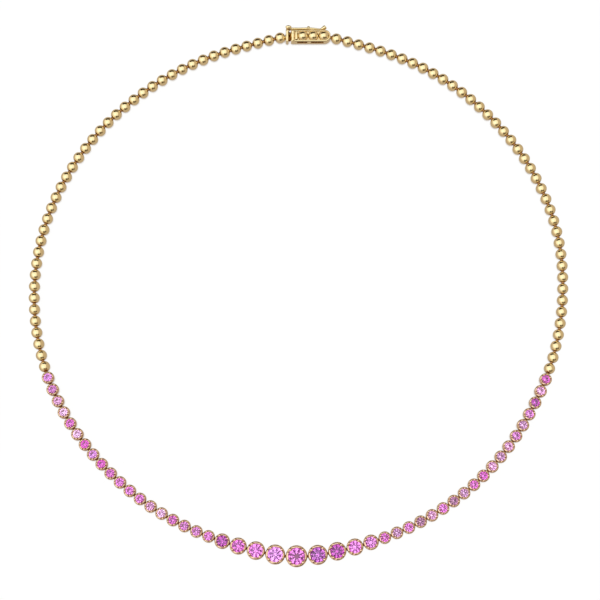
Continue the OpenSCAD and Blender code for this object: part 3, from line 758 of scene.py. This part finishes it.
def cup(half, sizes):
    """A turned cup as a hoop of rings round Z. Its outside bulges: at height z under the
    widest height w the wall lies half * (1 - u (1 - z / w)^p) out, u and p being the undercut
    and its power. Over it a cone, bulging by half a sine, leads up to the crest beside the
    stone. The rim's rings dip on both sides of each prong, by a bell curve of the turn from
    the prong. In the mouth at the front the wall is pushed in to the hinge pocket's back.
    Given back with it is each point's share of painted shade: in the notches, at the two ends, inside
    the cup and in the pocket."""
    r, table_z, girdle_z, girdle_low, culet_z = sizes
    h = table_z + TABLE_DROP
    mouth = np.arcsin(POCKET_HALF_W / half)
    sliver = np.radians(0.8)
    even = np.linspace(-np.pi, np.pi, SETTING_SIDES, endpoint=False)
    clear = np.abs(np.abs(even) - mouth) > 1.6 * sliver
    edges = [-mouth - sliver, sliver - mouth, mouth - sliver, mouth + sliver]
    turn = np.sort(np.concatenate([even[clear], edges]))
    c, s = np.cos(turn), np.sin(turn)
    from_prong = np.abs((turn + np.pi) % (np.pi / 2) - np.pi / 4)
    notch = np.exp(-((from_prong - NOTCH_AT) / NOTCH_W) ** 2)

    low_z, high_z = HINGE_Z - POCKET_R, HINGE_Z + POCKET_R
    thin = 0.02 * MM
    wall_z = np.array([0.05 * MM, 0.3 * MM, 0.55 * MM, low_z - thin, low_z + thin, HINGE_Z - 0.2 * MM,
                       HINGE_Z + 0.2 * MM, high_z - thin, high_z + thin])
    crest = r + CREST_W
    hole = r * BACK_HOLE_SHARE
    up = np.array([0, 0.15, 0.35, 0.6, 0.85])
    swell = BULGE * np.sin(np.pi * up)
    wall_out = half * (1 - UNDERCUT * np.maximum(1 - wall_z / (WIDEST * h), 0) ** UNDERCUT_POWER)
    seat_drop = STONE_FIT / np.cos(np.arctan(PAVILION_SLOPE))
    seat_top = culet_z + (r + STONE_FIT) * PAVILION_SLOPE - seat_drop
    seat_bottom = culet_z + hole * PAVILION_SLOPE - seat_drop
    # How far out and how high each ring lies, and its shares of the notches' dip and cut
    profile = [(hole + 0.03 * MM, 0.0, 0, 0), (wall_out[0] - 0.08 * MM, 0.0, 0, 0)]
    profile += [(out, z, 0, 0) for out, z in zip(wall_out, wall_z)]
    profile += [(half + (crest - half) * t + more, h - SHOULDER * (1 - t) + more, t ** 0.7, 0.3 * t)
                for t, more in zip(up, swell)]
    profile += [
        (crest, h, 1, 0.5),
        (r + 0.02 * MM, h - 0.05 * MM, 0.9, 1),
        (r - LIP, girdle_z + 2 * LIP_Z, 0.4, 1),
        (r - LIP, girdle_z + LIP_Z, 0, 1),
        (r + STONE_FIT, girdle_z + LIP_Z, 0, 0),
        (r + STONE_FIT, seat_top, 0, 0),
        (hole, seat_bottom, 0, 0),
        (hole, 0.03 * MM, 0, 0),
    ]
    out, z, dips, cuts = (np.array(column)[:, None] for column in zip(*profile))
    out = out + cuts * NOTCH_CUT * notch
    z = z - dips * NOTCH_DEPTH * notch
    x, y = out * c, out * s
    pushed = np.zeros(x.shape, bool)
    foot_rings = 2
    rows = slice(foot_rings + 4, foot_rings + 8)
    pushed[rows] = np.abs(turn) < mouth
    pocket_back = half - PIN_INSET - POCKET_R
    x = np.where(pushed, pocket_back, x)
    y = np.where(pushed, np.clip(y, -POCKET_HALF_W, POCKET_HALF_W), y)
    # Painted shade: brown in the notches beside the prongs, on the wall at the two ends, inside the cup
    # and on the pushed-in pocket wall
    shade_and_polish = np.minimum(dips * notch + 0 * x, 1)
    from_end = np.degrees(np.minimum(np.abs(turn), np.pi - np.abs(turn)))
    end_shade = END_SHADE * faded(from_end, *END_FADE)
    shaded_rings = foot_rings + len(wall_z) + 2
    shade_and_polish[:shaded_rings] = np.maximum(shade_and_polish[:shaded_rings], end_shade)
    shade_and_polish[shaded_rings] = np.maximum(shade_and_polish[shaded_rings], 0.5 * end_shade)
    inside_rings = 5
    shade_and_polish[-inside_rings:] = 1
    shade_and_polish[rows] = np.where(pushed[rows], 1, shade_and_polish[rows])
    return hoop_over(columns(x, y, z)), shade_and_polish


def prong_tip(turn, r, h, size):
    """A grain of gold pushed over the stone: an egg, longer towards the stone, tilted down
    along the crown."""
    a = full_turn(12)
    b = np.linspace(0.12, np.pi - 0.12, 7)[:, None]
    x = size * PRONG_LONG * np.cos(b)
    y = size * np.sin(b) * np.cos(a)
    z = size * PRONG_FLAT * np.sin(b) * np.sin(a)
    c, s = np.cos(PRONG_LEAN), np.sin(PRONG_LEAN)
    x, z = x * c - z * s, x * s + z * c
    x, z = x + r + 0.06 * MM, z + h - 0.01 * MM
    c, s = np.cos(turn), np.sin(turn)
    return skin_over(columns(x * c - y * s, x * s + y * c, z))


for node, stone in SETTINGS:
    here = np.flatnonzero(owner == stone)
    half = half_len[here[0]]
    sizes = stone_sizes(stone)
    prong = PRONG_R + PRONG_GROWTH * (2 * half - SMALL_D)
    turned_cup, shade_and_polish = cup(half, sizes)
    parts = [turned_cup, hinge_tongue(-half), hinge_pin(half)]
    parts += [prong_tip(turn, sizes[0], sizes[1] + TABLE_DROP, prong)
              for turn in np.pi / 4 + np.arange(4) * np.pi / 2]
    shares = [TONGUE_SHADE, PIN_SHADE, 0, 0, 0, 0]
    shares = [np.full(len(part[0]), share) for part, share in zip(parts[1:], shares)]
    shares = [shade_and_polish.ravel()] + shares
    shares = [np.tile(share, len(here)) for share in shares]
    parts = [along_chain(part, here) for part in parts]
    settings = gold_piece(node.replace("setting", "cup"), node, parts, shares, rosy_gold)
    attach(settings, "necklace")
    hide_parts(node)


# The clasp's box: a case pressed from gold sheet, closed below, with three domes and a
# raised edge on its lid, a rib round its mouth and two long slots in its front wall. Its far
# end is round and open for the next bead's hinge, and a ball peg stands out behind it.
BOX_MOUTH_X = 1.3
BOX_END_X = 9.75
BOX_R = 1.55
BOX_SKIN = 0.2
LID_EDGE_Z = 1.96
LID_RIM_Z = 2.2
LID_FLOOR_Z = 1.98
LID_FALL = 0.12
EDGE_ROUND = 0.3
DOMES_X = (4.25, 6.9, 9.56)
DOME_Y = -0.03
DOME_FOOT_Z = 1.85
DOME_RADII = (1.34, 1.26, 1.32)
DOME_SQUARE = 2.5
# Painted shade in the creases between the domes: how brown their feet are, fading out at this share of
# their height
DOME_CREASE_SHADE = 0.7
DOME_SHADE_UP = 0.65
# Painted shade, with a little polish, on the lid's floor between the rib and the domes
FLOOR_SHADE_AND_POLISH = 0.35
# How brown the sheet behind the front wall's slots is: painted shade
SLOT_SHADE_BROWN = 0.8
RIB_X = 1.74
RIB_HALF_W = 0.46
RIB_Z = 2.42
RIB_END = 0.4
NECK_HALF_W = 0.52
NECK_END_X = 3.07
SLOTS_X = ((2.8, 5.4), (6.3, 9.5))
SLOT_Z = (0.75, 1.85)
CLASP_LEN = 11.3
PEG_AT = (5.7, 2.37, 1.3)
PEG_BALL_R = 0.4
PEG_NECK_R = 0.18
STATION = 0.1
SLIGHT = 1e-6

# The clasp's own frame, in millimetres: X from the end plate's outer face, Y from the middle
# line. The box and the tongue's leaf sit a little further back than the plate.
CLASP = np.array([clasp_low.x - BOX_MOUTH_X * MM, clasp_low.y + CLASP_W / 2, 0])
SET_BACK = 0.2
FAR_OPENING_HALF_W = 0.5


def on_clasp(part, back=0.0):
    points, faces = part
    return (points + [0, back, 0]) * MM + CLASP, faces


def lid_height(x, y):
    """The lid's height. From the walls it rises by a quarter round to the rim and falls
    again, by a soft S, to the floor. A half round rib stands across the mouth."""
    inside = BOX_R - np.where(x > BOX_END_X, np.hypot(x - BOX_END_X, y), np.abs(y))
    inside = np.maximum(inside, 0)
    quarter_round = np.sqrt(1 - (1 - np.minimum(inside / EDGE_ROUND, 1)) ** 2)
    edge = LID_EDGE_Z + (LID_RIM_Z - LID_EDGE_Z) * quarter_round
    fall = np.clip((inside - EDGE_ROUND) / LID_FALL, 0, 1)
    fall = fall ** 2 * (3 - 2 * fall)
    floor = edge - fall * (LID_RIM_Z - LID_FLOOR_Z)
    across = np.clip((x - RIB_X) / RIB_HALF_W, -1, 1)
    end = np.sqrt(1 - (1 - np.minimum(inside / RIB_END, 1)) ** 2)
    rib = LID_EDGE_Z + (RIB_Z - LID_EDGE_Z) * np.sqrt(1 - across ** 2) * end
    return np.maximum(floor, rib)


def box_skin():
    """Rings round the box at stations along X. Half a ring runs from the bottom up the front
    wall and over the lid, whose points lie at the sine of even turns, and the other half is
    its mirror image. Round the far end they lie at sqrt(r^2 - d^2), d being how far past the
    circle's middle a station is. Faces in the slots, in the lid's slot for the press button
    and in the far hinge's opening are left out."""
    (first, first_end), (second, second_end) = SLOTS_X
    marks = [BOX_MOUTH_X, RIB_X + RIB_HALF_W, first, NECK_END_X, first_end, second, second_end,
             BOX_END_X]
    spans = [np.linspace(a, b, round((b - a) / STATION) + 1)[:-1] for a, b in zip(marks, marks[1:])]
    round_end = np.linspace(0, np.arccos(FAR_OPENING_HALF_W / BOX_R), 18)
    x = np.concatenate(spans + [BOX_END_X + BOX_R * np.sin(round_end)])
    half = np.sqrt(BOX_R ** 2 - np.maximum(x - BOX_END_X, 0) ** 2)

    low_z, high_z = (HINGE_Z - POCKET_R) / MM, (HINGE_Z + POCKET_R) / MM
    wall_z = [0.12, 0.3, 0.5, SLOT_Z[0], low_z, 1.05, 1.3, 1.55, SLOT_Z[1], high_z]
    neck_turn = np.degrees(np.arcsin(NECK_HALF_W / BOX_R))
    lid_turn = np.concatenate([np.linspace(90, neck_turn, 20),
                               np.linspace(neck_turn, 0, 6, endpoint=False)[1:]])
    share = np.concatenate([[0.93, 0.98], 1 + 0 * np.array(wall_z), np.sin(np.radians(lid_turn))])
    rise = np.concatenate([[0, 0.03], wall_z, 0 * lid_turn])
    first_lid = 2 + len(wall_z)
    n = 2 * len(share)
    share, rise = np.concatenate([share, -share[::-1]]), np.concatenate([rise, rise[::-1]])
    on_lid = (np.arange(n) >= first_lid) & (np.arange(n) < n - first_lid)

    y = -share * half[:, None]
    z = np.where(on_lid, lid_height(x[:, None], y), rise)
    points = columns(x[:, None], y, z).reshape(-1, 3)
    faces = ring_faces(len(x), n)
    face_x, face_y, face_z = points[faces].mean(axis=1).T
    of_lid = np.tile(on_lid & np.roll(on_lid, -1), len(x) - 1)
    cut = of_lid & (face_x < NECK_END_X) & (np.abs(face_y) < NECK_HALF_W)
    for start, end in SLOTS_X:
        in_slot = (face_x > start) & (face_x < end) & (face_z > SLOT_Z[0]) & (face_z < SLOT_Z[1])
        cut |= in_slot & (face_y < 0.99 * -BOX_R)

    j = np.arange(n // 2 - 1)
    j = j[(z[-1, j + 1] < low_z + SLIGHT) | (z[-1, j] > high_z - SLIGHT)]
    last = (len(x) - 1) * n
    far_wall = last + columns(j, j + 1, n - 2 - j, n - 1 - j)
    return points, np.concatenate([faces[~cut], far_wall])


def ball(middle, radius, sides=20):
    """A ball, or an egg of three radii, by rings from pole to pole along X."""
    a = full_turn(sides)
    b = np.linspace(0.1, np.pi - 0.1, sides // 2 + 1)[:, None]
    unit = columns(np.cos(b), np.sin(b) * np.cos(a), np.sin(b) * np.sin(a))
    return skin_over(np.array(middle) + np.array(radius) * unit)


def edges_rounded(piece, width):
    bevel = piece.modifiers.new("edges", "BEVEL")
    bevel.width = width
    bevel.segments = 2
    bevel.limit_method = "ANGLE"
    bevel.angle_limit = np.radians(SHARPEST)
    bevel.harden_normals = True


def dome(middle, radii, sides=48):
    """A cushion on its flat foot, by rings from the foot up. Seen from above the foot is a
    square with round sides, (|cos a|^n + |sin a|^n)^(-1/n) from its middle at the turn a,
    and the rings become round towards the top."""
    a = full_turn(sides)
    b = np.radians(np.linspace(0, 86, 18))[:, None]
    square = (np.abs(np.cos(a)) ** DOME_SQUARE + np.abs(np.sin(a)) ** DOME_SQUARE) ** (-1 / DOME_SQUARE)
    out = np.cos(b) * (1 + (square - 1) * np.cos(b) ** 2)
    unit = columns(out * np.cos(a), out * np.sin(a), np.sin(b))
    return skin_over(np.array(middle) + np.array(radii) * unit)


skin = box_skin()
mesh = make_mesh("clasp_box_skin", [on_clasp(skin, SET_BACK)])
x, _, z = skin[0].T
# The lid's floor is painted brown: painted shade with a little polish
on_floor = (z > LID_FLOOR_Z - 0.01) & (z < LID_FLOOR_Z + 0.1) & (x > RIB_X + RIB_HALF_W)
store_shade_and_polish(mesh, [FLOOR_SHADE_AND_POLISH * on_floor])
smooth(mesh, 60)
box = make_object("clasp_case", mesh, yellow_gold)
sheet = box.modifiers.new("sheet", "SOLIDIFY")
sheet.thickness = BOX_SKIN * MM
edges_rounded(box, 0.03 * MM)

# A dark brown sheet just inside the front wall, behind the slots, which they show: painted shade for
# the box's dark inside
slot_shade_points = np.array([[BOX_MOUTH_X + 0.1, -1.26, 1.85], [BOX_END_X, -1.26, 1.85],
                         [BOX_END_X, -1.02, 0.3], [BOX_MOUTH_X + 0.1, -1.02, 0.3]])
mesh = make_mesh("clasp_slot_shade_sheet", [on_clasp((slot_shade_points, np.array([[0, 1, 2, 3]])), SET_BACK)])
store_shade_and_polish(mesh, [np.full(4, SLOT_SHADE_BROWN)])
slot_shade_sheet = make_object("clasp_slot_shade_sheet", mesh, dull_shaded_gold)

# The domes' feet towards each other are painted brown: painted shade in the creases between them
dome_parts = [dome([x, DOME_Y, DOME_FOOT_Z], DOME_RADII) for x in DOMES_X]
shares = []
for (points, _), x in zip(dome_parts, DOMES_X):
    over_foot = (points[:, 2] - DOME_FOOT_Z) / DOME_RADII[2]
    beside = (points[:, 0] - x) ** 2 / (np.hypot(points[:, 0] - x, points[:, 1] - DOME_Y) + SLIGHT) ** 2
    shares.append(DOME_CREASE_SHADE * np.clip(1 - over_foot / DOME_SHADE_UP, 0, 1) * beside ** 2)
peg_parts = [rod([PEG_AT[0], BOX_R - 0.1, PEG_AT[2]], PEG_AT, PEG_NECK_R, 16), ball(PEG_AT, PEG_BALL_R)]
points, faces = hinge_pin(CLASP_LEN * MM)
far_pin = points / MM, faces
box_parts = [on_clasp(part, SET_BACK) for part in dome_parts + peg_parts] + [on_clasp(far_pin)]
shares += [np.zeros(len(points)) for points, _ in peg_parts + [far_pin]]
domes = gold_piece("clasp_domes", "clasp_box_domes", box_parts, shares, yellow_gold)
for piece in (box, slot_shade_sheet, domes):
    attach(piece, "necklace")
    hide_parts("clasp_box")


# The clasp's tongue: a spring leaf folded from gold strip, with a half round press button
# on its upper leaf, soldered to a rounded end plate. The lever's hinge post, with a ball on
# each end, stands on a lug behind the plate.
PLATE_HALF = (0.3, 1.5, 1.3)
PLATE_ROUND = 0.2
BOSS_RADII = (0.22, 0.85, 0.8)
KNOB_AT = (0.36, 1.4, 2.28)
KNOB_RADII = (0.46, 0.3, 0.32)
LUG_Z = 1.3
LUG_R = 0.15
POST_X = 0.4
POST_Y = 2.0
POST_Z = (0.324, 2.3)
POST_R = 0.17
FOOT_BALL_R = 0.32
HEAD_AT = (0.62, 2.34, 2.5)
HEAD_RADII = (0.76, 0.44, 0.42)
LEAF_T = 0.25
LEAF_HALF_W = 1.08
LEAF_FOOT_FRONT = -1.36
NECK_T = 0.2
NECK_SINK = 0.12
BUTTON_X = 2.625
BUTTON_HALF = 0.325
BUTTON_Z = 2.7
BUTTON_FOOT_Z = 2.32
# How far out each ring of the button lies, and how much its edge is rounded off there
BUTTON_RINGS = ((-1.1, 0.1), (-1.07, 0.03), (-1.0, 0), (1.0, 0), (1.07, 0.03), (1.1, 0.1))


def rounded_bar(middle, half_size, corner):
    """A bar across the clasp, of three half sizes. Its section is a rectangle with rounded
    corners, and at both ends the section shrinks by what a quarter circle leaves."""
    quarter = np.radians([0, 22, 45, 68, 90])
    turn = np.concatenate([quarter + side * np.pi / 2 for side in range(4)])
    sign_x = np.repeat([1, -1, -1, 1], len(quarter))
    sign_z = np.repeat([1, 1, -1, -1], len(quarter))
    end = np.radians([15, 35, 55, 75, 90])
    shrink = corner * (1 - np.sin(end))
    place = half_size[1] - corner * (1 - np.cos(end))
    shrink = np.concatenate([shrink, shrink[::-1]])
    place = np.concatenate([-place, place[::-1]])
    rings = [columns(sign_x * (half_size[0] - corner) + (corner - less) * np.cos(turn), y,
                     sign_z * (half_size[2] - corner) + (corner - less) * np.sin(turn))
             for less, y in zip(shrink, place)]
    return skin_over(np.array(rings) + np.array(middle))


def strip(path, thick, front, back):
    """A flat strip bent along a path of (x, z) points, from y = front to y = back, each one
    number or one for each point. Its four corners lie half the thickness to both sides of
    the path, square to it."""
    path = np.array(path, float)
    along = np.gradient(path, axis=0)
    along /= np.hypot(*along.T)[:, None]
    off = columns(-along[:, 1], along[:, 0]) * thick / 2
    inner, outer = path - off, path + off
    sides = [(inner, front), (inner, back), (outer, back), (outer, front)]
    rings = np.stack([columns(p[:, 0], y, p[:, 1]) for p, y in sides], axis=1)
    return skin_over(rings)


# The leaf's path of (x, z) points: down from the plate in a quarter oval, in along the box's
# bottom, round the fold and back up to the mouth
foot = [(1.25 - 0.75 * np.cos(a), 2.05 - 0.65 * np.sin(a)) for a in np.radians(np.arange(0, 91, 15))]
fold = [(7.55 + 0.3 * np.sin(a), 0.95 - 0.4 * np.cos(a)) for a in np.radians(np.arange(0, 151, 25))]
leaf_path = foot + [(1.6, 1.0), (2.1, 0.58), (3, 0.54), (6, 0.54)] + fold
leaf_path += [(5, 1.5), (3, 1.655), (1.75, 1.655)]
leaf_front = np.where(np.array(leaf_path)[:, 0] < 1.25, LEAF_FOOT_FRONT, -LEAF_HALF_W)
neck = [(x, lid_height(x, 0.0) - NECK_SINK) for x in np.linspace(BOX_MOUTH_X + 0.02, 2.2, 9)]
neck += [(2.6, 1.9), (2.95, 1.9)]
neck_half = NECK_HALF_W - 0.02
turn = np.linspace(0, np.pi, 12)
button_x = np.append(-np.cos(turn), [1, -1]) * BUTTON_HALF
button_z = np.append(BUTTON_Z - BUTTON_HALF * (1 - np.sin(turn)), [BUTTON_FOOT_Z, BUTTON_FOOT_Z])
over_foot = button_z > BUTTON_FOOT_Z + 0.01
button = skin_over(np.array([
    columns(BUTTON_X + button_x * (1 - less * 3), y, button_z - over_foot * less)
    for y, less in BUTTON_RINGS]))
points, faces = hinge_tongue(0.0)
plate_parts = [
    (points / MM, faces),
    rounded_bar([PLATE_HALF[0], 0, PLATE_HALF[2]], PLATE_HALF, PLATE_ROUND),
    ball([-0.02, 0, HINGE_Z / MM], BOSS_RADII),
    rod([POST_X, 1.3, LUG_Z], [POST_X, POST_Y, LUG_Z], LUG_R),
    ball(KNOB_AT, KNOB_RADII),
    rod([POST_X, POST_Y, POST_Z[0]], [POST_X, POST_Y, POST_Z[1]], POST_R, 16),
    ball([POST_X, POST_Y, POST_Z[0]], FOOT_BALL_R),
    ball(HEAD_AT, HEAD_RADII),
]
button_neck = strip(neck, NECK_T, -neck_half, neck_half)
plate_parts = [on_clasp(part) for part in plate_parts]
plate_parts += [on_clasp(button_neck, SET_BACK), on_clasp(button, SET_BACK)]
leaf = strip(leaf_path, LEAF_T, leaf_front, LEAF_HALF_W)
button_foot = strip([(2.62, 1.6), (2.62, 2.0), (2.62, 2.4)], 0.6, -0.4, 0.4)
leaf_parts = [on_clasp(leaf, SET_BACK), on_clasp(button_foot, SET_BACK)]
# The leaf and the button's foot, deep in the box, are of the darker gold: painted shade
for name, parts, metal in (
        ("clasp_end_plate", plate_parts, yellow_gold), ("clasp_leaf", leaf_parts, dull_shaded_gold)):
    mesh = make_mesh(name, parts)
    smooth(mesh, SHARPEST)
    piece = make_object(name, mesh, metal)
    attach(piece, "necklace")
    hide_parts("clasp_tongue")


# The safety lever: one piece of round gold wire bent into a long loop that springs over the
# ball peg. Its two ends are eyes on the hinge post, and a thumb tip turns outwards.
WIRE_R = 0.22
WIRE_SIDES = 12
# The upper wire from the hinge to the tip: x, z and y, from the middle of the lever's hinge.
# The lower wire is its mirror image, and bows outwards by a half sine.
LOOP = [(0.2, 0.45, 0.14), (0.7, 0.46, 0.2), (1.4, 0.5, 0.2), (2.6, 0.54, 0.18), (4, 0.6, 0.17),
        (4.9, 0.71, 0.17), (5.7, 0.73, 0.15), (6.6, 0.62, 0.1), (7.6, 0.42, 0.02), (8.2, 0.22, 0.02)]
LOOP_TIP = (8.35, 0, 0)
LOWER_OUT = 0.2
ROOT_R = 0.3
ROOT_X = (0.2, 0.9, 1.5)
TIP = [(8.0, 0.0, 0), (8.5, 0.12, 0), (9.0, 0.36, 0), (9.45, 0.62, 0), (9.7, 0.8, 0)]
# The thumb tip's radius at shares of its length, and how much wider than that it is
TIP_R = ((0, 0.2), (0.3, 0.34), (0.6, 0.52), (0.8, 0.55), (0.93, 0.42), (1, 0.18))
TIP_WIDE = 1.3
EYE_Z = 0.45
EYE_SECTION = ((0.22, -0.17), (0.36, -0.17), (0.4, -0.12), (0.4, 0.12), (0.36, 0.17), (0.22, 0.17))
# Painted shade on the wire near its eyes: how brown, short of this x and within this y towards the box
EYE_SHADE = 0.9
EYE_SHADE_X = 1.1
EYE_SHADE_Y = 0.12


def smooth_path(points, per_span=5):
    """A smooth curve through points: each span is the cubic whose slopes at its two ends
    are half the way between their neighbours (Catmull and Rom's)."""
    p = np.array(points, float)
    p = np.concatenate([2 * p[:1] - p[1:2], p, 2 * p[-1:] - p[-2:-1]])
    t = np.linspace(0, 1, per_span, endpoint=False)[:, None, None]
    a, b, c, d = p[:-3], p[1:-2], p[2:-1], p[3:]
    spans = b + t * (c - a) / 2 + t ** 2 * (2 * a - 5 * b + 4 * c - d) / 2
    spans += t ** 3 * (3 * b - a - 3 * c + d) / 2
    return np.concatenate([spans.transpose(1, 0, 2).reshape(-1, 3), p[-2:-1]])


def tube(path, radius, sides=WIRE_SIDES):
    """A round wire along a path: at each point a circle square to the path, one of whose
    two axes is kept as near to +Y as it can be."""
    along = np.gradient(path, axis=0)
    along /= np.linalg.norm(along, axis=1)[:, None]
    across = np.cross(along, [0, 1, 0])
    across /= np.linalg.norm(across, axis=1)[:, None]
    up = np.cross(across, along)
    turn = full_turn(sides)
    radius = np.broadcast_to(radius, len(path))[:, None, None]
    ring = across[:, None] * np.cos(turn)[:, None] + up[:, None] * np.sin(turn)[:, None]
    return skin_over(path[:, None] + ring * radius)


upper = [(x, y, z) for x, z, y in LOOP]
lower = [(x, y + LOWER_OUT * np.sin(np.pi * x / LOOP[-1][0]), -z) for x, y, z in upper[::-1]]
loop_path = smooth_path(upper + [LOOP_TIP] + lower)
loop_r = np.interp(loop_path[:, 0], ROOT_X, [ROOT_R, 0.8 * ROOT_R, WIRE_R])
tip_path = smooth_path(TIP)
points, faces = tube(tip_path, np.interp(np.linspace(0, 1, len(tip_path)), *zip(*TIP_R)), 16)
lever_parts = [tube(loop_path, loop_r), (points * [1, 1, TIP_WIDE], faces)]
turn = full_turn(28)
for eye_z in (-EYE_Z, EYE_Z):
    lever_parts.append(hoop_over(np.array([
        columns(out * np.cos(turn), out * np.sin(turn), eye_z + up)
        for out, up in EYE_SECTION])))
# The eyes, beside the post and the box, are painted brown: painted shade
shares = []
for points, _ in lever_parts:
    towards_box = np.clip((EYE_SHADE_Y - points[:, 1]) / EYE_SHADE_Y, 0, 1)
    shares.append(EYE_SHADE * (points[:, 0] < EYE_SHADE_X) * towards_box)
lever_parts = [on_clasp((points + [POST_X, POST_Y, LUG_Z], faces)) for points, faces in lever_parts]
lever = gold_piece("lever_wire", "safety_lever_wire", lever_parts, shares, yellow_gold)
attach(lever, "safety_lever")
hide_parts("safety_lever")
